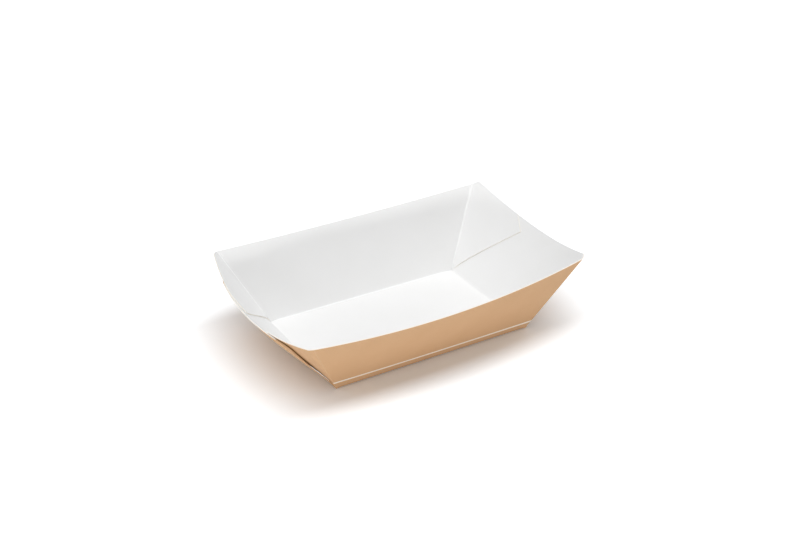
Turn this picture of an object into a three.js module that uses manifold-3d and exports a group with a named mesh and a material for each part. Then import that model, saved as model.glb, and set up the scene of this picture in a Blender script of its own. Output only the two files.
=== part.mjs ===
// Open paper food tray: one die-cut sheet of paperboard, folded up and glued at its four corners.
// Millimetres, +Z up. The origin is the centre of the base where it meets the table, X runs along
// the length and the near long wall is at -Y.
import * as THREE from "three";
import { mergeVertices } from "three/addons/utils/BufferGeometryUtils.js";
import Module from "manifold-3d";

// The board and the flat base
const boardThickness = 0.5;
const baseLength = 120;
const baseWidth = 72.4;

// Where the long walls end at the corner creases, at the rim
const creaseSpanX = 165.9;
const creaseSpanY = 105;
const creaseHeight = 43;

// The rims bow outwards and dip between the corners
const longRimBow = 4.3;
const longRimDip = 3.8;
const leftRimBow = 7;
const leftRimDip = 7;
const rightRimBow = 6.7;
const rightRimDip = 9.7;

// The left end wall also bellies outwards between its fold and its rim
const leftBelly = 1.5;
const bellyLean = 30;

// The soft turn of the board at a corner, just above the base
const turnWidth = 0.9;

// Corner flaps: the lower edge is cut on a slant, and the end has a short cut up to the rim
const nearFlapCornerFromMiddle = 13.4;
const nearFlapRimFromMiddle = 21.5;
const farFlapCornerFromMiddle = 8.6;
const farFlapRimFromMiddle = 18;
const flapNotchDrop = 7.2;
const flapRootWidth = 0.6;

// End panels: nearly straight side edges, and a shallow rounded corner over into the rim
const panelBaseFromMiddle = 35.4;
const panelTopFromMiddle = 36.7;
const panelRimFromMiddle = 21;
const panelRoundDrop = 6;
const rowsInRound = 5;

// A panel is glued over its middle, and its sides stand off the flaps, most of all low down
const panelGluedFromMiddle = 16;
const panelEdgeLift = 1.4;
const panelLiftHeight = 14;
const panelLiftFall = 0.5;

// The glue line sinks each flap a little into the panel outside it
const glueSink = 0.15;

// The rounded bead that the pressed crease of a long fold raises on the inside
const beadRadius = 0.5;
const beadSkin = 0.05;
const beadSides = 8;

// How far each corner of the hand-folded tray strays from the even shape, and how far the pointed
// tip of its flap lies beyond the top of the crease: outwards along X, inwards along Y and upwards
const corners = {
  nearLeft: { out: 2, rise: -2.2, tipOut: 1.1, tipIn: 1.9, tipRise: -0.5 },
  nearRight: { out: -1.8, rise: 1.1, tipOut: 1.7, tipIn: 1.4, tipRise: 1.5 },
  farLeft: { out: -0.4, rise: -0.4, tipOut: 3.6, tipIn: 3.4, tipRise: 0.7 },
  farRight: { out: 0.2, rise: 1.6, tipOut: 3.1, tipIn: 3.1, tipRise: 1.9 },
};

// How finely the sheet is divided
const rowsUpWall = 8;
const columnsAlongWall = 24;
const columnsAcrossFlap = 8;
const columnsAcrossPanel = 20;
const closestRows = 0.01;

const kraftColor = 0xc7a075;

const wasm = await Module();
wasm.setup();

// A corner's name from its side (-1 near, 1 far) and end (-1 left, 1 right)
function cornerOf(side, end) {
  return corners[(side < 0 ? "near" : "far") + (end < 0 ? "Left" : "Right")];
}

function baseCorner(side, end) {
  return new THREE.Vector3((end * baseLength) / 2, (side * baseWidth) / 2, 0);
}

function creaseTop(side, end) {
  const corner = cornerOf(side, end);
  return new THREE.Vector3(
    (end * creaseSpanX) / 2,
    side * (creaseSpanY / 2 + corner.out),
    creaseHeight + corner.rise,
  );
}

function tip(side, end) {
  const corner = cornerOf(side, end);
  return creaseTop(side, end).add(
    new THREE.Vector3(end * corner.tipOut, -side * corner.tipIn, corner.tipRise),
  );
}

// A point on a line from a to b at u in -1..1, moved by a parabola that is full at the middle
function bowed(a, b, u, shift) {
  const point = a.clone().lerp(b, (u + 1) / 2);
  return point.addScaledVector(shift, 1 - u * u);
}

// The outer face of a long wall: u runs from left to right, v from the base fold to the rim
function longWallPoint(side, u, v) {
  const fold = baseCorner(side, -1).lerp(baseCorner(side, 1), (u + 1) / 2);
  const shift = new THREE.Vector3(0, side * longRimBow, -longRimDip);
  const rim = bowed(creaseTop(side, -1), creaseTop(side, 1), u, shift);
  return fold.lerp(rim, v);
}

// The outer face of an end panel before it lifts: u runs from near to far, v up to the rim
function endWallPoint(end, u, v) {
  const fold = baseCorner(-1, end).lerp(baseCorner(1, end), (u + 1) / 2);
  const bow = end < 0 ? leftRimBow : rightRimBow;
  const dip = end < 0 ? leftRimDip : rightRimDip;
  const rim = bowed(tip(-1, end), tip(1, end), u, new THREE.Vector3(end * bow, 0, -dip));
  const belly = end < 0 ? leftBelly : 0;
  const lean = THREE.MathUtils.degToRad(bellyLean);
  const outwards = new THREE.Vector3(end * Math.cos(lean), 0, -Math.sin(lean));
  return fold.lerp(rim, v).addScaledVector(outwards, belly * Math.sin(Math.PI * v) * (1 - u * u));
}

// The outward normal of an end wall, from two short steps along it
function endWallNormal(end, u, v) {
  const step = 0.001;
  const along = endWallPoint(end, u + step, v).sub(endWallPoint(end, u - step, v));
  const up = endWallPoint(end, u, v + step).sub(endWallPoint(end, u, v - step));
  return along.cross(up).multiplyScalar(end).normalize();
}

// The slant length of an end wall at its middle, and its half width at a height v
const endSlant = endWallPoint(1, 0, 1).distanceTo(endWallPoint(1, 0, 0));
function endHalfWidth(side, end, v) {
  return Math.abs(THREE.MathUtils.lerp(baseWidth / 2, Math.abs(tip(side, end).y), v));
}

// The share of the half width at which a distance from the middle lies
function shareOfHalfWidth(side, end, fromMiddle, v) {
  return fromMiddle / endHalfWidth(side, end, v);
}

// Where a flap's cut edge is at height v: a slanted lower edge, then a short cut up to the rim
function flapEdge(side, end, v) {
  const notch = 1 - flapNotchDrop / endSlant;
  const root = baseWidth / 2 - turnWidth - flapRootWidth;
  const corner = side < 0 ? nearFlapCornerFromMiddle : farFlapCornerFromMiddle;
  const rim = side < 0 ? nearFlapRimFromMiddle : farFlapRimFromMiddle;
  const fromMiddle =
    v < notch
      ? THREE.MathUtils.lerp(root, corner, v / notch)
      : THREE.MathUtils.lerp(corner, rim, (v - notch) / (1 - notch));
  return shareOfHalfWidth(side, end, fromMiddle, v);
}

// Where a flap starts beside the corner: the turn of the board narrows towards the base
function flapStart(side, end, v) {
  return THREE.MathUtils.lerp(1 - turnWidth / (baseWidth / 2), 1, v);
}

// A panel's free side edge: nearly straight up, then a quarter ellipse over into the rim
const roundStart = 1 - panelRoundDrop / endSlant;
function panelEdge(side, end, v) {
  const straight = THREE.MathUtils.lerp(panelBaseFromMiddle, panelTopFromMiddle, v);
  const turn = Math.max(0, (v - roundStart) / (1 - roundStart));
  const fromMiddle = THREE.MathUtils.lerp(panelRimFromMiddle, straight, Math.sqrt(1 - turn * turn));
  return shareOfHalfWidth(side, end, fromMiddle, v);
}

// Heights between two limits, closer together towards the upper one
function heightsBetween(low, high, rows) {
  const heights = [];
  for (let i = 0; i <= rows; i += 1) {
    heights.push(THREE.MathUtils.lerp(low, high, Math.sin((i / rows) * (Math.PI / 2))));
  }
  return heights;
}

// Rows of a long wall with its flaps: one of them is at the flaps' notch
function stripHeights() {
  const heights = [...heightsBetween(0, 1, rowsUpWall), 1 - flapNotchDrop / endSlant];
  heights.sort((a, b) => a - b);
  return heights.filter((height, i) => i === 0 || height - heights[i - 1] > closestRows);
}

// Rows of an end panel: up its straight sides, then round its upper corners
function panelHeights() {
  const round = heightsBetween(roundStart, 1, rowsInRound);
  return [...heightsBetween(0, roundStart, rowsUpWall), ...round.slice(1)];
}

// A flap's outer face lies one board inside the panel's outer face, less the glue's sink
function flapPoint(side, end, u, v) {
  const depth = boardThickness - glueSink;
  return endWallPoint(end, side * u, v).addScaledVector(endWallNormal(end, side * u, v), -depth);
}

// One row of a long wall with the flap at each of its ends, as seen from outside, left to right
function longStripRow(side, v) {
  const row = [];
  const first = side;
  for (let i = 0; i <= columnsAcrossFlap; i += 1) {
    const share = i / columnsAcrossFlap;
    const u = THREE.MathUtils.lerp(flapEdge(side, first, v), flapStart(side, first, v), share);
    row.push(flapPoint(side, first, u, v));
  }
  for (let i = 0; i <= columnsAlongWall; i += 1) {
    const u = first * (1 - (2 * i) / columnsAlongWall);
    row.push(longWallPoint(side, u, v));
  }
  for (let i = 0; i <= columnsAcrossFlap; i += 1) {
    const share = i / columnsAcrossFlap;
    const u = THREE.MathUtils.lerp(flapStart(side, -first, v), flapEdge(side, -first, v), share);
    row.push(flapPoint(side, -first, u, v));
  }
  return row;
}

// How far a panel stands off its flaps: nothing at its glued middle and full at its side edge
function panelLift(u, end, v) {
  const fromMiddle = Math.abs(u) * endHalfWidth(Math.sign(u) || 1, end, v);
  const loose = panelTopFromMiddle - panelGluedFromMiddle;
  const share = THREE.MathUtils.clamp((fromMiddle - panelGluedFromMiddle) / loose, 0, 1);
  const height = Math.min(1, (v * endSlant) / panelLiftHeight) * (1 - panelLiftFall * v);
  return panelEdgeLift * share * share * height;
}

// One row of an end panel, as seen from outside, left to right
function panelRow(end, v) {
  const row = [];
  for (let i = 0; i <= columnsAcrossPanel; i += 1) {
    const across = -end + (2 * end * i) / columnsAcrossPanel;
    const edge = panelEdge(Math.sign(across) || 1, end, v);
    const u = across * edge;
    const lift = panelLift(u, end, v);
    row.push(endWallPoint(end, u, v).addScaledVector(endWallNormal(end, u, v), lift));
  }
  return row;
}

// The unit normals of the four quads round a grid point, fewer at the grid's border
function quadNormalsAt(grid, r, c) {
  const normals = [];
  for (const [r0, c0] of [[r - 1, c - 1], [r - 1, c], [r, c - 1], [r, c]]) {
    if (r0 >= 0 && c0 >= 0 && r0 < grid.length - 1 && c0 < grid[0].length - 1) {
      const diagonal = grid[r0 + 1][c0 + 1].clone().sub(grid[r0][c0]);
      const other = grid[r0 + 1][c0].clone().sub(grid[r0][c0 + 1]);
      normals.push(diagonal.cross(other).normalize());
    }
  }
  return normals;
}

// The same grid one board further in, mitred so that the board keeps its thickness at a fold
function insetGrid(grid) {
  return grid.map((row, r) =>
    row.map((point, c) => {
      const normals = quadNormalsAt(grid, r, c);
      const mean = new THREE.Vector3();
      normals.forEach((normal) => mean.add(normal));
      mean.normalize();
      const lean = normals.reduce((sum, normal) => sum + normal.dot(mean), 0) / normals.length;
      return point.clone().addScaledVector(mean, -boardThickness / lean);
    }),
  );
}

// A closed sheet of board whose outer face is the grid, as a solid that can be joined
function boardSolid(outer) {
  const rows = outer.length;
  const columns = outer[0].length;
  const points = [...outer.flat(), ...insetGrid(outer).flat()];
  const back = rows * columns;
  const triangles = [];
  const quad = (a, b, c, d) => triangles.push(a, b, c, a, c, d);
  for (let r = 0; r < rows - 1; r += 1) {
    for (let c = 0; c < columns - 1; c += 1) {
      const a = r * columns + c;
      quad(a, a + 1, a + columns + 1, a + columns);
      quad(back + a, back + a + columns, back + a + columns + 1, back + a + 1);
    }
  }
  const top = (rows - 1) * columns;
  for (let c = 0; c < columns - 1; c += 1) {
    quad(c, back + c, back + c + 1, c + 1);
    quad(top + c, top + c + 1, back + top + c + 1, back + top + c);
  }
  for (let r = 0; r < rows - 1; r += 1) {
    const left = r * columns;
    const right = left + columns - 1;
    quad(left, left + columns, back + left + columns, back + left);
    quad(right, back + right, back + right + columns, right + columns);
  }
  return solidFrom(points.flatMap((p) => [p.x, p.y, p.z]), triangles);
}

function solidFrom(coordinates, triangles) {
  return new wasm.Manifold(
    new wasm.Mesh({
      numProp: 3,
      vertProperties: new Float32Array(coordinates),
      triVerts: new Uint32Array(triangles),
    }),
  );
}

// A three.js geometry as a solid, with its shared vertices merged
function solidFromGeometry(geometry) {
  geometry.deleteAttribute("normal");
  geometry.deleteAttribute("uv");
  const merged = mergeVertices(geometry);
  return solidFrom(Array.from(merged.attributes.position.array), Array.from(merged.index.array));
}

function baseSolid() {
  const slab = new THREE.BoxGeometry(baseLength, baseWidth, boardThickness);
  slab.translate(0, 0, boardThickness / 2);
  return solidFromGeometry(slab);
}

// A round bead between two points, for the ridge along a crease
function beadSolid(from, to) {
  const along = to.clone().sub(from);
  const bead = new THREE.CylinderGeometry(beadRadius, beadRadius, along.length(), beadSides);
  const axis = new THREE.Vector3(0, 1, 0);
  bead.applyQuaternion(new THREE.Quaternion().setFromUnitVectors(axis, along.clone().normalize()));
  const middle = from.clone().add(to).multiplyScalar(0.5);
  bead.translate(middle.x, middle.y, middle.z);
  return solidFromGeometry(bead);
}

// The bead along a long base fold, a skin's depth inside the board on both sides of the fold
function foldBead(side) {
  const rise = beadRadius + beadSkin;
  const x = baseLength / 2 - rise;
  const y = side * (baseWidth / 2 - rise);
  return beadSolid(new THREE.Vector3(-x, y, rise), new THREE.Vector3(x, y, rise));
}

function stripGrid(side) {
  return stripHeights().map((v) => longStripRow(side, v));
}

function panelGrid(end) {
  return panelHeights().map((v) => panelRow(end, v));
}

function traySolid() {
  const pieces = [
    boardSolid(stripGrid(-1)),
    boardSolid(stripGrid(1)),
    boardSolid(panelGrid(-1)),
    boardSolid(panelGrid(1)),
    foldBead(-1),
    foldBead(1),
  ];
  return pieces.reduce((whole, piece) => whole.add(piece), baseSolid());
}

function geometryFrom(solid) {
  const mesh = solid.getMesh();
  const geometry = new THREE.BufferGeometry();
  geometry.setAttribute("position", new THREE.BufferAttribute(mesh.vertProperties, 3));
  geometry.setIndex(new THREE.BufferAttribute(mesh.triVerts, 1));
  geometry.computeVertexNormals();
  return geometry;
}

const tray = new THREE.Mesh(
  geometryFrom(traySolid()),
  new THREE.MeshStandardMaterial({ color: kraftColor, roughness: 0.85, metalness: 0 }),
);
tray.name = "tray";

const model = new THREE.Group();
model.add(tray);

export default model;
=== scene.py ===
# %% [markdown]
# The object is an open food tray, folded from one sheet of paperboard. It is white on the food side
# and plain brown kraft outside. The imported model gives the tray's place and size, and this lesson
# builds the same sheet again with soft creases and fine paper surfaces. It could be cut from a block
# with modifiers, but a folded sheet is easier to understand as what it is: a flat blank, bent.

# %% Load the frame
import math

import bmesh
import bpy
import numpy as np
from mathutils import Matrix, Vector


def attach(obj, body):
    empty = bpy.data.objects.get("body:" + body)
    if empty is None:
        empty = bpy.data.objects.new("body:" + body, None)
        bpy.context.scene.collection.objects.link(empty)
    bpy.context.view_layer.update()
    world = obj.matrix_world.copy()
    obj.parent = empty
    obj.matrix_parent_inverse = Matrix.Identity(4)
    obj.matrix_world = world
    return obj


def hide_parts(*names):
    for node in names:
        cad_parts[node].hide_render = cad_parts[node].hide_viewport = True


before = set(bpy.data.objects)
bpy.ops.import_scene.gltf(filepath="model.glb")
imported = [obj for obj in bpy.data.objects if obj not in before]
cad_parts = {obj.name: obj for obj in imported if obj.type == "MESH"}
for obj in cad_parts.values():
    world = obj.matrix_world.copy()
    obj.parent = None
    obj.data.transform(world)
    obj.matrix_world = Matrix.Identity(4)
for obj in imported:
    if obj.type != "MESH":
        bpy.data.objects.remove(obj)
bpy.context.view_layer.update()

# %% [markdown]
# The camera stands in front and to the left, looks down by about thirty degrees, and leans by about
# two. Its place is written as a distance and two angles, so that it can be read as a photographer
# would say it, and the lean turns the picture about the line of sight.

# %% Camera
CAMERA_AZIMUTH = math.radians(-33.402)
CAMERA_ELEVATION = math.radians(29.635)
CAMERA_LEAN = math.radians(2.286)
CAMERA_DISTANCE = 0.6966
AIM_HEIGHT = 0.015
AIM_RIGHT = 0.00036
AIM_UP = 0.01377
PICTURE_WIDTH = 800
FOCAL_PIXELS = 1288.7
SENSOR_MM = 36


def make_camera():
    """Three unit vectors, back, right and up, from the azimuth and elevation, then turned by the lean."""
    back = Vector((
        math.sin(CAMERA_AZIMUTH) * math.cos(CAMERA_ELEVATION),
        -math.cos(CAMERA_AZIMUTH) * math.cos(CAMERA_ELEVATION),
        math.sin(CAMERA_ELEVATION),
    ))
    level = Vector((math.cos(CAMERA_AZIMUTH), math.sin(CAMERA_AZIMUTH), 0))
    upright = back.cross(level)
    right = level * math.cos(CAMERA_LEAN) + upright * math.sin(CAMERA_LEAN)
    up = upright * math.cos(CAMERA_LEAN) - level * math.sin(CAMERA_LEAN)
    aim = right * AIM_RIGHT + up * AIM_UP + Vector((0, 0, AIM_HEIGHT))
    data = bpy.data.cameras.new("camera")
    data.sensor_width = SENSOR_MM
    data.lens = FOCAL_PIXELS * SENSOR_MM / PICTURE_WIDTH
    camera = bpy.data.objects.new("camera", data)
    place = Matrix((right, up, back)).transposed().to_4x4()
    place.translation = aim + back * CAMERA_DISTANCE
    camera.matrix_world = place
    bpy.context.scene.collection.objects.link(camera)
    bpy.context.scene.camera = camera
    return camera


camera = make_camera()
print("lens", round(camera.data.lens, 1), "mm")

# %% [markdown]
# The tray's driving sizes are few: the flat base, where the corner creases end at the rim, how far
# the rims bow outwards and dip, and the pointed tip past each crease. The real tray was folded by
# hand, so each corner strays a millimetre or two from the even shape. All of them are millimetres
# here, and become metres only when the mesh is made.

# %% Sizes of the sheet
BOARD = 0.5
BASE_HALF = np.array([60.0, 36.2])
CREASE_HALF = np.array([82.95, 52.5])
CREASE_HEIGHT = 43.0
LONG_BOW, LONG_DIP = 4.3, 3.8
END_BOW = {-1: 7.0, 1: 6.7}
END_DIP = {-1: 7.0, 1: 9.7}
END_BELLY = {-1: 1.5, 1: 0.0}
BELLY_LEAN = math.radians(30)
STRAY = {  # (side, end): how far the top of the crease strays outwards and upwards
    (-1, -1): (2.0, -2.2),
    (-1, 1): (-1.8, 1.1),
    (1, -1): (-0.4, -0.4),
    (1, 1): (0.2, 1.6),
}
TIP_REACH = {  # (side, end): the tip past the crease, outwards along x, inwards along y, upwards
    (-1, -1): (2.0, 1.9, -1.2),
    (-1, 1): (1.7, 1.4, 1.5),
    (1, -1): (3.6, 3.4, 0.7),
    (1, 1): (3.1, 3.1, 1.9),
}
MILLIMETRE = 0.001


def base_corner(side, end):
    """The base's corner on that side (-1 near, 1 far) and end (-1 left, 1 right)."""
    return np.array([end * BASE_HALF[0], side * BASE_HALF[1], 0.0])


def crease_top(side, end):
    """Where the corner crease meets the rim, with that corner's stray added."""
    out, rise = STRAY[side, end]
    return np.array([end * CREASE_HALF[0], side * (CREASE_HALF[1] + out), CREASE_HEIGHT + rise])


def tip(side, end):
    """The pointed tip, a short way past the top of the crease."""
    out, inward, rise = TIP_REACH[side, end]
    return crease_top(side, end) + np.array([end * out, -side * inward, rise])


print("tips at", [np.round(tip(s, e), 1).tolist() for s in (-1, 1) for e in (-1, 1)])

# %% [markdown]
# Each wall is a ruled surface: straight lines run from the straight fold at the base to the curved
# rim. Paper can only bend one way at a time, so this is the shape that a real wall takes. The rim is
# a parabola, full at its middle and nothing at its ends.

# %% Walls as ruled surfaces
TINY = 1e-9
NORMAL_STEP = 0.001


def unit(vectors):
    """Each vector divided by its own length."""
    return vectors / np.maximum(np.linalg.norm(vectors, axis=-1, keepdims=True), TINY)


def between(first, last, u):
    """The straight line from first at u = -1 to last at u = 1."""
    share = ((u + 1) / 2)[..., None]
    return first * (1 - share) + last * share


def ruled(fold, rim, v):
    """A straight line from the fold at v = 0 to the rim at v = 1."""
    return fold * (1 - v[..., None]) + rim * v[..., None]


def long_wall(side, u, v):
    """Fold plus rim lines of a long wall; the rim bows by (1 - u squared) outwards and downwards."""
    fold = between(base_corner(side, -1), base_corner(side, 1), u)
    bow = (1 - u * u)[..., None] * np.array([0, side * LONG_BOW, -LONG_DIP])
    return ruled(fold, between(crease_top(side, -1), crease_top(side, 1), u) + bow, v)


def end_wall(end, u, v):
    """The same for an end wall, whose rim runs from tip to tip, near to far. Where the wall bellies,
    the sine of v's share of a half turn is added, leaning outwards and down."""
    fold = between(base_corner(-1, end), base_corner(1, end), u)
    full = (1 - u * u)[..., None]
    bow = full * np.array([end * END_BOW[end], 0, -END_DIP[end]])
    lean = np.array([end * math.cos(BELLY_LEAN), 0, -math.sin(BELLY_LEAN)])
    belly = END_BELLY[end] * np.sin(np.pi * v)[..., None] * full * lean
    return ruled(fold, between(tip(-1, end), tip(1, end), u) + bow, v) + belly


def end_normal(end, u, v):
    """The end wall's outward normal: the cross product of a small step along it and one up it."""
    along = end_wall(end, u + NORMAL_STEP, v) - end_wall(end, u - NORMAL_STEP, v)
    up = end_wall(end, u, v + NORMAL_STEP) - end_wall(end, u, v - NORMAL_STEP)
    return unit(np.cross(along, up)) * end


END_SLANT = float(np.linalg.norm(end_wall(1, np.array(0.0), np.array(1.0)) - [BASE_HALF[0], 0, 0]))
CORNER_SLANT = float(np.linalg.norm(crease_top(1, 1) - base_corner(1, 1)))
print("slant at the end's middle", round(END_SLANT, 1), "and at a corner", round(CORNER_SLANT, 1))

# %% [markdown]
# A pressed crease isn't a sharp line. The board turns over a millimetre or so, and the pressing rule
# leaves a low bead along the inside. Both are the same kind of change: every point near the fold
# moves towards the inside of the corner by an amount that depends only on its distance from the fold.
# The amounts fade to nothing where folds meet, because the board is pinched sharp there.

# %% Soft folds and pressed beads
TURN_HALF = 0.8
CREASE_TURN_HALF = 0.45
BEAD_HALF = 0.8
BEAD_RISE = 0.32
CREASE_BEAD_RISE = 0.40
PINCH_LENGTH = 6.0
FINE_ZONE = 1.8
FINE_STEP = 0.2


def smooth(share):
    """A smooth step: three times the square less twice the cube, held between 0 and 1."""
    share = np.clip(share, 0, 1)
    return share * share * (3 - 2 * share)


def fold_shift(distance, away_a, away_b, strength, turn_half=TURN_HALF, bead_rise=BEAD_RISE):
    """(half - distance) squared over four halves, along the two directions that leave the fold, which
    makes the corner a parabola, plus a cosine hump along their mean for the bead."""
    turn = np.clip(turn_half - distance, 0, None) ** 2 / (4 * turn_half)
    hump = bead_rise * 0.5 * (1 + np.cos(np.pi * np.clip(distance / BEAD_HALF, 0, 1)))
    inside = away_a + away_b
    return strength[..., None] * (turn[..., None] * inside + hump[..., None] * unit(inside))


def stations(length, coarse_step):
    """Shares of a length, close together in the fine zone at its start and further apart after it."""
    fine = np.arange(0, FINE_ZONE, FINE_STEP)
    coarse = np.linspace(FINE_ZONE, length, max(2, round((length - FINE_ZONE) / coarse_step)))
    return np.concatenate([fine, coarse]) / length


def both_ends(half_length, coarse_step):
    """The same for -1 to 1, close together at both ends."""
    half = 1 - stations(half_length, coarse_step)
    return np.unique(np.round(np.concatenate([-half, half]), 9))


FLAP_NOTCH_DROP = 7.2
NOTCH = 1 - FLAP_NOTCH_DROP / END_SLANT
ALONG = both_ends(BASE_HALF[0], coarse_step=1.6)
ACROSS = both_ends(BASE_HALF[1], coarse_step=1.4)
UPWARDS = np.unique(np.concatenate([stations(CORNER_SLANT, coarse_step=1.3), [NOTCH]]))
print(len(ALONG), "columns along,", len(ACROSS), "across and", len(UPWARDS), "rows up a wall")

# %% [markdown]
# The blank has nine fields: the base, two long walls, two end panels and four flaps. A flap belongs
# to the long wall beside it, and an end panel to the base, so there is a cut between them from the
# base corner outwards. Each field is one grid of points that shares its border with its neighbour.
# A second set of numbers, the blank map, says where each point lies on the flat sheet.

# %% The base and the long walls
FAR_AWAY = 50.0
A_LITTLE_IN = 0.97


def base_field():
    """The flat base: x and y in proportion, with the soft folds along all four edges."""
    u, w = np.meshgrid(ALONG, ACROSS)
    points = np.stack([u * BASE_HALF[0], w * BASE_HALF[1], np.zeros_like(u)], -1)
    flat = points[..., :2].copy()
    for side in (-1, 1):
        up = unit(long_wall(side, u, np.ones_like(u)) - long_wall(side, u, np.zeros_like(u)))
        distance = BASE_HALF[1] * (1 - side * w)
        fade = smooth(BASE_HALF[0] * (1 - np.abs(u)) / PINCH_LENGTH)
        points = points + fold_shift(distance, np.array([0, -side, 0.0]), up, fade)
    for end in (-1, 1):
        up = unit(end_wall(end, w, np.ones_like(w)) - end_wall(end, w, np.zeros_like(w)))
        distance = BASE_HALF[0] * (1 - end * u)
        fade = smooth(BASE_HALF[1] * (1 - np.abs(w)) / PINCH_LENGTH)
        points = points + fold_shift(distance, np.array([-end, 0, 0.0]), up, fade, bead_rise=0.0)
    return points, flat, np.full_like(u, FAR_AWAY)


def crease_directions(side, end, v):
    """From the corner crease at height v: the directions into the wall and towards the tip line, and
    the crease's own points."""
    inner = np.full_like(v, end * A_LITTLE_IN)
    crease = long_wall(side, np.full_like(v, float(end)), v)
    tip_line = flap_surface(side, end, np.ones_like(v), v)
    return unit(long_wall(side, inner, v) - crease), unit(tip_line - crease + TINY), crease


def crease_strength(v):
    """The crease softens over the first stretch above the base corner."""
    return smooth(v * CORNER_SLANT / PINCH_LENGTH)


def crease_shift(distance, into_wall, into_flap, v):
    """The soft turn and the bead of a corner crease."""
    strength = crease_strength(v)
    return fold_shift(distance, into_wall, into_flap, strength, CREASE_TURN_HALF, CREASE_BEAD_RISE)


def long_wall_field(side):
    """A long wall: ruled lines, the soft base fold, and the soft crease at each end."""
    u, v = np.meshgrid(ALONG, UPWARDS)
    points = long_wall(side, u, v)
    rise = long_wall(side, u, np.ones_like(u)) - long_wall(side, u, np.zeros_like(u))
    slant = np.linalg.norm(rise, axis=-1)
    flat = np.stack([points[..., 0], side * (BASE_HALF[1] + v * slant)], -1)
    up = unit(rise)
    fade = smooth(BASE_HALF[0] * (1 - np.abs(u)) / PINCH_LENGTH)
    shift = fold_shift(v * slant, np.array([0, -side, 0.0]), up, fade)
    from_crease = np.full_like(u, FAR_AWAY)
    for end in (-1, 1):
        into_wall, into_flap, crease = crease_directions(side, end, v)
        distance = np.linalg.norm(points - crease, axis=-1)
        from_crease = np.minimum(from_crease, distance)
        shift = shift + crease_shift(distance, into_wall, into_flap, v)
    return points + shift, flat, from_crease


print("the base is a grid of", base_field()[0].shape[:2], "points")

# %% [markdown]
# A flap carries the long wall on past the crease. The board first turns through a narrow face
# towards the pointed tip, then turns again and lies flat against the inside of the end panel. Its
# lower edge is cut on a slant that starts at the base corner, and a short cut joins that to the rim.

# %% The corner flaps
FLAP_CORNER_FROM_MIDDLE = {-1: 13.4, 1: 8.6}
FLAP_RIM_FROM_MIDDLE = {-1: 21.5, 1: 18.0}
GLUE_GAP = 0.03
DEPTH_RAMP = 0.12
TIP_TURN_SHARE = 0.25
LEAST_TURN = 0.001
FACE_COLUMNS = 14
FLAP_COLUMNS = 34


def end_half_width(side, end, v):
    """Half the width of an end wall at height v, from the base to the tip."""
    return BASE_HALF[1] * (1 - v) + abs(tip(side, end)[1]) * v


def flap_edge(side, end, v):
    """The flap's cut edge as a share of the half width: a slant up to the notch, then a short cut."""
    corner = FLAP_CORNER_FROM_MIDDLE[side]
    low = BASE_HALF[1] + (corner - BASE_HALF[1]) * v / NOTCH
    high = corner + (FLAP_RIM_FROM_MIDDLE[side] - corner) * (v - NOTCH) / (1 - NOTCH)
    return np.where(v < NOTCH, low, high) / end_half_width(side, end, v)


def flap_surface(side, end, share, v):
    """The flap's outer face: the end wall moved inwards by one board and the glue's gap."""
    depth = (BOARD + GLUE_GAP) * smooth(v / DEPTH_RAMP)
    return end_wall(end, side * share, v) - depth[..., None] * end_normal(end, side * share, v)


def flap_field(side, end):
    """Columns over the narrow face from the crease to the tip line, then columns to the cut edge."""
    face, v_face = np.meshgrid(np.linspace(0, 1, FACE_COLUMNS), UPWARDS)
    into_wall, into_flap, crease = crease_directions(side, end, v_face)
    tip_line = flap_surface(side, end, np.ones_like(v_face), v_face)
    narrow = crease + (tip_line - crease) * face[..., None]
    width = np.linalg.norm(tip_line - crease, axis=-1)
    across, v_flap = np.meshgrid(np.linspace(0, 1, FLAP_COLUMNS)[1:], UPWARDS)
    share = 1 + (flap_edge(side, end, v_flap) - 1) * across
    broad = flap_surface(side, end, share, v_flap)
    turn_half = np.maximum(TIP_TURN_SHARE * width[:, :1], LEAST_TURN)
    toward_crease = -into_flap[:, :1]
    inner = flap_surface(side, end, np.full((len(UPWARDS), 1), A_LITTLE_IN), v_face[:, :1])
    toward_edge = unit(inner - tip_line[:, :1])
    strong = crease_strength(v_face)
    shift = crease_shift(width * face, into_wall, into_flap, v_face)
    turn = fold_shift(width * (1 - face), toward_crease, toward_edge, strong, turn_half, 0.0)
    far = np.linalg.norm(broad - tip_line[:, :1], axis=-1)
    turn_broad = fold_shift(far, toward_crease, toward_edge, crease_strength(v_flap), turn_half, 0.0)
    points = np.concatenate([narrow + shift + turn, broad + turn_broad], 1)
    along = np.concatenate([width * face, width[:, -1:] + far], 1)
    slant = np.broadcast_to(BASE_HALF[1] + UPWARDS[:, None] * CORNER_SLANT, along.shape)
    flat = np.stack([end * (np.abs(crease[:, :1, 0]) + along), side * slant], -1)
    return points, flat, along


print("a flap is a grid of", flap_field(-1, -1)[0].shape[:2], "points")

# %% [markdown]
# An end panel rises from the base outside the flaps. It is glued over its middle, and its free side
# edges stand off a little, most at the near left corner, where the gap gives a dark line.
# Each side edge is nearly straight, and a shallow rounded corner takes it over into the rim.

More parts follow.
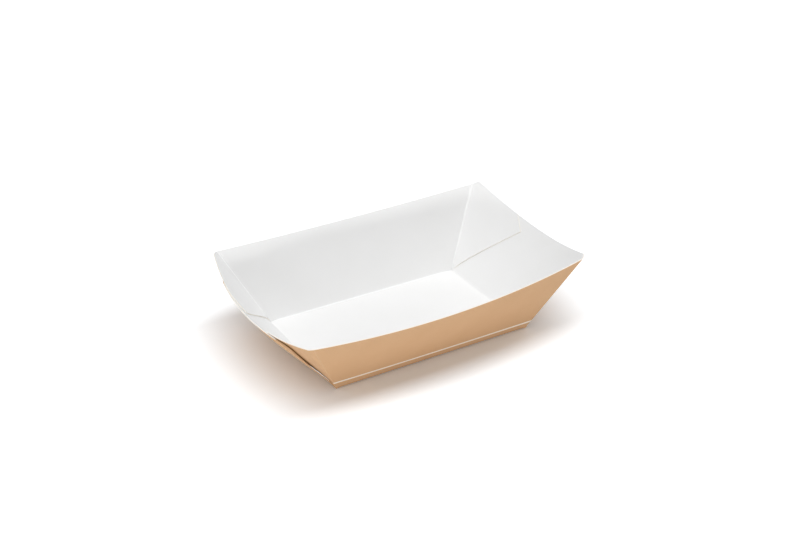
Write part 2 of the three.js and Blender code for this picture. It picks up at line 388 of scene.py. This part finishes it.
# %% The end panels
PANEL_MARGIN = 0.4
PANEL_MARGIN_RAMP = 0.06
PANEL_TOP_FROM_MIDDLE = 36.7
PANEL_RIM_FROM_MIDDLE = 21.0
PANEL_ROUND_DROP = 6.0
PANEL_GLUED_FROM_MIDDLE = 16.0
PANEL_LIFT = {  # (side, end): how far the free edge stands off
    (-1, -1): 1.3,
    (-1, 1): 0.3,
    (1, -1): 0.3,
    (1, 1): 0.3,
}
PANEL_LIFT_HEIGHT = 26.0
PANEL_LIFT_BEND = 1.4
PANEL_LIFT_FALL = 0.5
ROUND_ROW_COUNT = 16
LEAST_ROW_GAP = 0.01
ROUND_START = 1 - PANEL_ROUND_DROP / END_SLANT
ROUND_ROWS = ROUND_START + (1 - ROUND_START) * np.sin(np.linspace(0, np.pi / 2, ROUND_ROW_COUNT))
PANEL_ROWS = np.concatenate([UPWARDS[UPWARDS < ROUND_START - LEAST_ROW_GAP], ROUND_ROWS])


def panel_edge(side, end, v):
    """The free side edge as a share of the half width: straight, then a quarter ellipse to the rim."""
    root = BASE_HALF[1] - PANEL_MARGIN * smooth(v / PANEL_MARGIN_RAMP)
    straight = root + (PANEL_TOP_FROM_MIDDLE - BASE_HALF[1]) * v
    turn = np.clip((v - ROUND_START) / (1 - ROUND_START), 0, 1)
    curved = PANEL_RIM_FROM_MIDDLE + (straight - PANEL_RIM_FROM_MIDDLE) * np.sqrt(1 - turn * turn)
    return curved / end_half_width(side, end, v)


def panel_lift(most, from_middle, v):
    """A power of the share past the glued middle, rising over the first stretch above the fold and
    falling off evenly towards the rim."""
    loose = PANEL_TOP_FROM_MIDDLE - PANEL_GLUED_FROM_MIDDLE
    share = np.clip((from_middle - PANEL_GLUED_FROM_MIDDLE) / loose, 0, 1)
    rise = smooth(v * END_SLANT / PANEL_LIFT_HEIGHT)
    return most * share ** PANEL_LIFT_BEND * rise * (1 - PANEL_LIFT_FALL * v)


def panel_field(end):
    """The end wall between its side edges, lifted along its normal where it isn't glued."""
    w, v = np.meshgrid(ACROSS, PANEL_ROWS)
    edge = np.where(w < 0, panel_edge(-1, end, v), panel_edge(1, end, v))
    half = np.where(w < 0, end_half_width(-1, end, v), end_half_width(1, end, v))
    share = w * edge
    most = np.where(w < 0, PANEL_LIFT[-1, end], PANEL_LIFT[1, end])
    lift = panel_lift(most, np.abs(share) * half, v)
    points = end_wall(end, share, v) + lift[..., None] * end_normal(end, share, v)
    up = unit(end_wall(end, w, np.ones_like(w)) - end_wall(end, w, np.zeros_like(w)))
    fade = smooth(BASE_HALF[1] * (1 - np.abs(w)) / PINCH_LENGTH)
    shift = fold_shift(v * END_SLANT, np.array([-end, 0, 0.0]), up, fade, bead_rise=0.0)
    flat = np.stack([end * (BASE_HALF[0] + v * END_SLANT), share * half], -1)
    return points + shift, flat, np.full_like(v, FAR_AWAY)


print("an end panel is a grid of", panel_field(-1)[0].shape[:2], "points")

# %% [markdown]
# The nine grids go into one mesh. Points that lie on a shared border are merged, so the sheet is
# continuous across each fold. The faces are turned to look outwards, and Solidify then gives the
# sheet its half millimetre of board on the inside. Its inner skin takes the second material and the
# cut edge the third, just as real board shows its layers only at the edge.

# %% One sheet from nine fields
MERGE_DISTANCE = 2e-6
SHARP_ANGLE = math.radians(38)
MAP_NAME = "blank"
CREASE_MAP = "creases"


def field_faces(rows, columns, start):
    """Quads of a grid, from the index of each cell's lower left point."""
    low = (np.arange(rows - 1)[:, None] * columns + np.arange(columns - 1)[None]).ravel() + start
    return np.stack([low, low + 1, low + columns + 1, low + columns], 1)


def open_sheet():
    """All the fields in one mesh. Each face corner has its place on the blank, and in a second map its
    distance from the nearest corner crease."""
    fields = [base_field(), long_wall_field(-1), long_wall_field(1), panel_field(-1), panel_field(1)]
    fields += [flap_field(side, end) for side in (-1, 1) for end in (-1, 1)]
    faces, start = [], 0
    for points, _, _ in fields:
        faces.append(field_faces(points.shape[0], points.shape[1], start))
        start += points.shape[0] * points.shape[1]
    faces = np.concatenate(faces)
    points = np.concatenate([p.reshape(-1, 3) for p, _, _ in fields]) * MILLIMETRE
    flat = np.concatenate([f.reshape(-1, 2) for _, f, _ in fields]) * MILLIMETRE
    gaps = np.concatenate([g.ravel() for _, _, g in fields]) * MILLIMETRE
    print("the flat blank measures", np.round(np.ptp(flat, axis=0) / MILLIMETRE, 1).tolist(), "mm")
    mesh = bpy.data.meshes.new("food_tray")
    mesh.from_pydata(points, [], faces)
    for name, values in ((MAP_NAME, flat), (CREASE_MAP, np.stack([gaps, np.zeros_like(gaps)], -1))):
        layer = mesh.uv_layers.new(name=name)
        layer.data.foreach_set("uv", values[faces.ravel()].astype(np.float32).ravel())
    return mesh


def merge_and_turn(mesh):
    """Merges the shared borders, makes all faces agree, and turns them until the base looks down."""
    work = bmesh.new()
    work.from_mesh(mesh)
    bmesh.ops.remove_doubles(work, verts=work.verts, dist=MERGE_DISTANCE)
    bmesh.ops.dissolve_degenerate(work, edges=work.edges, dist=MERGE_DISTANCE)
    bmesh.ops.recalc_face_normals(work, faces=work.faces)
    middle = min(work.faces, key=lambda face: face.calc_center_median().length)
    if middle.normal.z > 0:
        bmesh.ops.reverse_faces(work, faces=work.faces)
    work.to_mesh(mesh)
    work.free()


def give_thickness(piece):
    """Solidify, applied: the board goes inwards from the outer face and keeps its thickness."""
    board = piece.modifiers.new("board", "SOLIDIFY")
    board.thickness = BOARD * MILLIMETRE
    board.offset = -1
    board.use_even_offset = True
    board.thickness_clamp = 0
    board.material_offset = 1
    board.material_offset_rim = 2
    graph = bpy.context.evaluated_depsgraph_get()
    thick = bpy.data.meshes.new_from_object(piece.evaluated_get(graph))
    piece.modifiers.clear()
    piece.data = thick
    thick.shade_smooth()
    thick.set_sharp_from_angle(angle=SHARP_ANGLE)


food_sheet = open_sheet()
merge_and_turn(food_sheet)
print("the sheet has", len(food_sheet.vertices), "points and", len(food_sheet.polygons), "faces")

# %% [markdown]
# Shader maths reads best as ordinary expressions. The small class below wraps a node's output, so
# that adding or multiplying it adds a Math node. Everything else comes from one method, which takes
# the node's type, its settings and what goes into its sockets.

# %% A small language for shader nodes
class Number:
    """One value in a shader. Operators on it add Math nodes and give a new Number."""

    def __init__(self, shader, socket):
        self.shader = shader
        self.socket = socket

    def math(self, operation, *others):
        """A Math node with this value first and the others after it."""
        inputs = {i: value for i, value in enumerate((self, *others))}
        return self.shader.node("ShaderNodeMath", {"operation": operation}, inputs)

    def __add__(self, other):
        return self.math("ADD", other)

    def __sub__(self, other):
        return self.math("SUBTRACT", other)

    def __mul__(self, other):
        return self.math("MULTIPLY", other)

    def __truediv__(self, other):
        return self.math("DIVIDE", other)

    def __rsub__(self, other):
        return self.shader.node("ShaderNodeMath", {"operation": "SUBTRACT"}, {0: other, 1: self})

    __radd__ = __add__
    __rmul__ = __mul__

    def size(self):
        """The value without its sign."""
        return self.math("ABSOLUTE")

    def below(self, limit, softness):
        """1 where the value is under the limit, 0 where it is over, soft over a short stretch."""
        return ((limit - self) / softness + 0.5).clamped()

    def clamped(self):
        """The value held between 0 and 1."""
        return self.math("MINIMUM", 1.0).math("MAXIMUM", 0.0)


class Shader:
    """The nodes of one material or of the world."""

    def __init__(self, owner):
        owner.use_nodes = True
        self.owner = owner
        self.tree = owner.node_tree
        self.tree.nodes.clear()

    def node(self, kind, settings=None, inputs=None, output=0):
        """Adds a node, sets it, fills its sockets with values or links, and gives back one output."""
        made = self.tree.nodes.new(kind)
        for name, value in (settings or {}).items():
            setattr(made, name, value)
        for key, value in (inputs or {}).items():
            socket = made.inputs[key]
            if isinstance(value, Number):
                self.tree.links.new(value.socket, socket)
            else:
                socket.default_value = value
        return Number(self, made.outputs[output]) if len(made.outputs) else None

    def mix(self, factor, first, second):
        """A Mix node on colours, whose colour sockets are numbers 6 and 7 and whose result is number 2."""
        settings = {"data_type": "RGBA", "clamp_factor": True}
        return self.node("ShaderNodeMix", settings, {0: factor, 6: first, 7: second}, output=2)

    def noise(self, place, scale, detail=3.0, stretch=(1, 1, 1)):
        """Soft noise with so many cells to the metre, squeezed by the stretch in each direction."""
        drawn = self.node("ShaderNodeMapping", {}, {"Vector": place, "Scale": stretch})
        return self.node("ShaderNodeTexNoise", {}, {"Vector": drawn, "Scale": scale, "Detail": detail})

    def parts(self, place):
        """The first two coordinates of a place, as Numbers."""
        first = self.node("ShaderNodeSeparateXYZ", {}, {0: place})
        return first, Number(self, first.socket.node.outputs[1])

    def finish(self, **inputs):
        """The Principled shader with these inputs, as the material's surface."""
        surface = self.node("ShaderNodeBsdfPrincipled", {}, inputs)
        self.node("ShaderNodeOutputMaterial", {}, {"Surface": surface})
        return self.owner


def tone(red, green, blue):
    """A colour as seen on screen, from 0 to 255, as the linear colour that Blender works in."""
    seen = np.array([red, green, blue]) / 255
    linear = np.where(seen <= 0.04045, seen / 12.92, ((seen + 0.055) / 1.055) ** 2.4)
    return (*(float(v) for v in linear), 1.0)


# %% [markdown]
# Kraft board is brown because its fibres aren't bleached. Up close it is a cloud of slightly
# different browns with short fibres lying mostly along the sheet, and it is nearly matt. The pattern
# reads the blank map, so the fibres run on unbroken across each fold, as they do in a real sheet.
# A pale line is printed along each long wall, a little above the base fold. It slopes slightly, as a
# print that isn't quite square on its sheet does, and runs out just past the creases.

# %% Kraft outside, with its printed line
LINE_ABOVE_FOLD = 6.2
LINE_SLOPE = -0.015
LINE_PAST_CREASE = 0.8
LINE_WIDTH = 1.4
LINE_SOFTNESS = 0.12
CREASE_PALE_WIDTH = 0.45
CREASE_PALE_SOFTNESS = 0.3
CREASE_PALE_STRENGTH = 0.15
KRAFT_CLOUDS = 60.0
FIBRES = 900.0
FIBRE_STRETCH = (0.3, 1.6, 1.0)
KRAFT_DETAIL = 4.0
FLECK_LEVEL = 0.62
FLECK_CONTRAST = 5
FLECK_STRENGTH = 0.35
KRAFT_ROUGHNESS = 0.82
LINE_SMOOTHNESS = 0.18
KRAFT_BUMP = {"Strength": 0.12, "Distance": 0.0002}
KRAFT = tone(219, 179, 137)
KRAFT_DARK = tone(210, 168, 126)
KRAFT_FIBRE = tone(188, 143, 100)
LINE_TONE = tone(255, 246, 232)
CREASE_PALE_TONE = tone(236, 214, 184)


def line_mask(shader, place):
    """1 on the printed line: near one distance up the wall, a little less to the right, and no further
    along than just past the two creases."""
    along, up = shader.parts(place)
    crease = BASE_HALF[0] + (CREASE_HALF[0] - BASE_HALF[0]) * LINE_ABOVE_FOLD / CORNER_SLANT
    centre = (BASE_HALF[1] + LINE_ABOVE_FOLD) * MILLIMETRE + along * LINE_SLOPE
    beside = (up.size() - centre).size().below(LINE_WIDTH * MILLIMETRE / 2, LINE_SOFTNESS * MILLIMETRE)
    reach = (crease + LINE_PAST_CREASE) * MILLIMETRE
    return beside * along.size().below(reach, LINE_SOFTNESS * MILLIMETRE)


def near_crease(shader, width, softness):
    """1 within half the width of a corner crease, from the second map."""
    gap, _ = shader.parts(shader.node("ShaderNodeUVMap", {"uv_map": CREASE_MAP}))
    return gap.below(width * MILLIMETRE / 2, softness * MILLIMETRE)


def kraft_board():
    """Cloudy browns, short fibres, a pale printed line, paler corner creases, and a slight roughness."""
    shader = Shader(bpy.data.materials.new("kraft_outside"))
    place = shader.node("ShaderNodeUVMap", {"uv_map": MAP_NAME})
    cloud = shader.noise(place, KRAFT_CLOUDS, KRAFT_DETAIL)
    fibre = shader.noise(place, FIBRES, KRAFT_DETAIL, FIBRE_STRETCH)
    fleck = ((fibre - FLECK_LEVEL) * FLECK_CONTRAST).clamped() * FLECK_STRENGTH
    brown = shader.mix(cloud, KRAFT_DARK, KRAFT)
    brown = shader.mix(fleck, brown, KRAFT_FIBRE)
    # paler along the corner creases
    paler_crease = near_crease(shader, CREASE_PALE_WIDTH, CREASE_PALE_SOFTNESS) * CREASE_PALE_STRENGTH
    brown = shader.mix(paler_crease, brown, CREASE_PALE_TONE)
    line = line_mask(shader, place)
    color = shader.mix(line, brown, LINE_TONE)
    rough = KRAFT_ROUGHNESS - line * LINE_SMOOTHNESS
    bump = shader.node("ShaderNodeBump", {}, {**KRAFT_BUMP, "Height": fibre})
    return shader.finish(**{"Base Color": color, "Roughness": rough, "Normal": bump})


kraft = kraft_board()
print("the kraft finish has", len(kraft.node_tree.nodes), "nodes")

# %% [markdown]
# The food side is clay-coated white board, smoother than the kraft and with a faint sheen. It is not
# perfectly even: there are very slight clouds in its tone and gloss. Along each long base fold and
# corner crease a paler line between two greyer ones is painted: a painted highlight on the bead and
# painted shade beside it. The cut edge shows the layers, which are cream, and its fibres make it
# rougher than either face. The free sides of the end panels are painted brown, as painted shade for
# the dark gap where they stand off.

# %% White inside and the cut edge
WHITE = tone(246, 246, 246)
WHITE_CLOUD = tone(242, 242, 241)
# painted highlight on the folds, and painted shade beside them
WHITE_PAINTED_HIGHLIGHT = tone(252, 252, 252)
WHITE_PAINTED_SHADE = tone(222, 222, 223)
CUT_EDGE = tone(252, 247, 239)
CUT_EDGE_DARK = tone(245, 238, 227)
# painted shade: the end panels' free side edges are brown, for the dark gap where they stand off
PANEL_EDGE_PAINTED_SHADE = tone(206, 166, 124)
PANEL_SIDE_SHARE = 0.985
HIGHLIGHT_WIDTH = 1.1
SHADE_LINE_WIDTH = 1.9
PAINTED_LINE_SOFTNESS = 0.2
SHADE_LINE_STRENGTH = 0.6
WHITE_CLOUDS = 45.0
WHITE_GRAIN = 1400.0
WHITE_ROUGHNESS = 0.52
CLOUD_ROUGHNESS = 0.12
WHITE_BUMP = {"Strength": 0.05, "Distance": 0.0001}
CUT_FIBRES = 2200.0
CUT_ROUGHNESS = 0.9


def near_long_fold(shader, place, width, softness):
    """1 within half the width of a long base fold, and between the base's two ends."""
    along, across = shader.parts(place)
    gap = (across.size() - BASE_HALF[1] * MILLIMETRE).size()
    beside = gap.below(width * MILLIMETRE / 2, softness * MILLIMETRE)
    return beside * along.size().below(BASE_HALF[0] * MILLIMETRE, softness * MILLIMETRE)


def near_fold(shader, place, width):
    """1 near a long base fold or a corner crease, whichever is closer."""
    fold = near_long_fold(shader, place, width, PAINTED_LINE_SOFTNESS)
    return fold.math("MAXIMUM", near_crease(shader, width, PAINTED_LINE_SOFTNESS))


def white_board():
    """Two whites in soft clouds, a varying gloss, the faintest grain, and painted fold highlights and
    shade.
    """
    shader = Shader(bpy.data.materials.new("white_inside"))
    place = shader.node("ShaderNodeUVMap", {"uv_map": MAP_NAME})
    cloud = shader.noise(place, WHITE_CLOUDS)
    grain = shader.noise(place, WHITE_GRAIN)
    color = shader.mix(cloud, WHITE_CLOUD, WHITE)
    # painted shade beside the long base folds and corner creases, then a painted highlight on them
    color = shader.mix(near_fold(shader, place, SHADE_LINE_WIDTH) * SHADE_LINE_STRENGTH, color, WHITE_PAINTED_SHADE)
    color = shader.mix(near_fold(shader, place, HIGHLIGHT_WIDTH), color, WHITE_PAINTED_HIGHLIGHT)
    rough = WHITE_ROUGHNESS + cloud * CLOUD_ROUGHNESS
    bump = shader.node("ShaderNodeBump", {}, {**WHITE_BUMP, "Height": grain})
    return shader.finish(**{"Base Color": color, "Roughness": rough, "Normal": bump})


def cut_board():
    """Cream layers with a fibrous, uneven tone, and painted brown shade along the end panels' free sides.
    """
    shader = Shader(bpy.data.materials.new("cut_edge"))
    place = shader.node("ShaderNodeTexCoord", {}, output="Object")
    fibre = shader.noise(place, CUT_FIBRES)
    color = shader.mix(fibre, CUT_EDGE_DARK, CUT_EDGE)
    along, across = shader.parts(shader.node("ShaderNodeUVMap", {"uv_map": MAP_NAME}))
    up_panel = (BASE_HALF[0] + PANEL_SIDE_SHARE * END_SLANT) * MILLIMETRE
    side = across.size().below(PANEL_TOP_FROM_MIDDLE * MILLIMETRE, LINE_SOFTNESS * MILLIMETRE)
    side = side * along.size().below(up_panel, LINE_SOFTNESS * MILLIMETRE)
    # painted shade along the end panels' free side edges
    color = shader.mix(side, color, PANEL_EDGE_PAINTED_SHADE)
    return shader.finish(**{"Base Color": color, "Roughness": CUT_ROUGHNESS})


white = white_board()
cut_edge = cut_board()
print("the white finish has", len(white.node_tree.nodes), "nodes")
print("the cut edge has", len(cut_edge.node_tree.nodes), "nodes")

# %% [markdown]
# Now the flat blank, its three finishes and its thickness come together. The finished sheet stands in
# the place of the imported solid and doesn't move.

# %% Make the tray
def make_tray(sheet):
    """The open sheet with its three materials, thickened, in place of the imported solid."""
    for material in (kraft, white, cut_edge):
        sheet.materials.append(material)
    piece = bpy.data.objects.new("food_tray", sheet)
    bpy.context.scene.collection.objects.link(piece)
    give_thickness(piece)
    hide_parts("tray")
    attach(piece, "root")
    return piece


food_tray = make_tray(food_sheet)
print("the tray has", len(food_tray.data.polygons), "faces")

# %% [markdown]
# The tray stands on a plain white floor in soft light. A long lamp overhead, along the tray, keeps
# the shadow close under the long walls. A low one in front lights the kraft wall and passes under the
# near rim, a weak one fills in from the left, and the sky adds a little from all round. The floor's
# colour is raised for the rays that make the picture, and more with distance, so it is white all round
# the tray and the shadow keeps its depth. It is slightly cool near the tray, because the kraft throws
# warm light on it. The rays that carry light see an ordinary white floor.

# %% Floor and light
FLOOR_SIZE = 6.0
FLOOR_DROP = 0.00005
FLOOR_WHITE = 0.90
FLOOR_SEEN = (1.00, 1.07, 1.13, 1)
FLOOR_SEEN_FAR = (2.6, 2.6, 2.6, 1)
FADE_START = 0.055
FADE_LENGTH = 0.24
SKY_STRENGTH = 0.31
LAMPS = {  # name: power in watts, length and width in metres, and place
    "overhead": (11.5, 2.2, 0.45, Vector((0.0, -0.12, 1.15))),
    "front": (4.4, 0.9, 0.09, Vector((-0.50, -1.30, 0.055))),
    "left": (1.6, 0.5, 0.4, Vector((-1.25, -0.40, 0.40))),
}


def makes_picture(shader):
    """1 for rays from the camera, a mirror or glass, and 0 for the rays that only carry light."""
    camera_ray = shader.node("ShaderNodeLightPath")
    rays = camera_ray.socket.node.outputs
    glossy = Number(shader, rays["Is Glossy Ray"])
    clear = Number(shader, rays["Is Transmission Ray"])
    return (camera_ray + glossy + clear).clamped()


def make_floor():
    """A diffuse white plane, brighter in the picture than in its light."""
    half = FLOOR_SIZE / 2
    mesh = bpy.data.meshes.new("floor")
    corners = [(-half, -half, -FLOOR_DROP), (half, -half, -FLOOR_DROP)]
    corners += [(half, half, -FLOOR_DROP), (-half, half, -FLOOR_DROP)]
    mesh.from_pydata(corners, [], [(0, 1, 2, 3)])
    floor = bpy.data.objects.new("floor", mesh)
    bpy.context.scene.collection.objects.link(floor)
    shader = Shader(bpy.data.materials.new("floor_white"))
    plain = (FLOOR_WHITE, FLOOR_WHITE, FLOOR_WHITE, 1)
    place = shader.node("ShaderNodeTexCoord", {}, output="Object")
    distance = shader.node("ShaderNodeVectorMath", {"operation": "LENGTH"}, {0: place}, output="Value")
    raised = shader.mix(((distance - FADE_START) / FADE_LENGTH).clamped(), FLOOR_SEEN, FLOOR_SEEN_FAR)
    color = shader.mix(makes_picture(shader), plain, raised)
    matt = shader.node("ShaderNodeBsdfDiffuse", {}, {"Color": color})
    shader.node("ShaderNodeOutputMaterial", {}, {"Surface": matt})
    mesh.materials.append(shader.owner)


def make_sky():
    """Even white light all round, and pure white where the picture shows it."""
    shader = Shader(bpy.data.worlds.new("studio"))
    strength = SKY_STRENGTH + makes_picture(shader) * (1 - SKY_STRENGTH)
    sky = shader.node("ShaderNodeBackground", {}, {"Color": (1, 1, 1, 1), "Strength": strength})
    shader.node("ShaderNodeOutputWorld", {}, {"Surface": sky})
    bpy.context.scene.world = shader.owner


def make_lamps():
    """Long lamps that point at the tray, with their length level."""
    for name, (power, length, width, place) in LAMPS.items():
        data = bpy.data.lights.new(name, "AREA")
        data.shape = "RECTANGLE"
        data.size = length
        data.size_y = width
        data.energy = power
        lamp = bpy.data.objects.new(name, data)
        lamp.location = place
        lamp.rotation_mode = "QUATERNION"
        lamp.rotation_quaternion = (-place).to_track_quat("-Z", "Y")
        bpy.context.scene.collection.objects.link(lamp)


make_floor()
make_sky()
make_lamps()
bpy.context.scene.view_settings.view_transform = "Standard"
print("lamps", list(LAMPS), "and a sky of", SKY_STRENGTH)
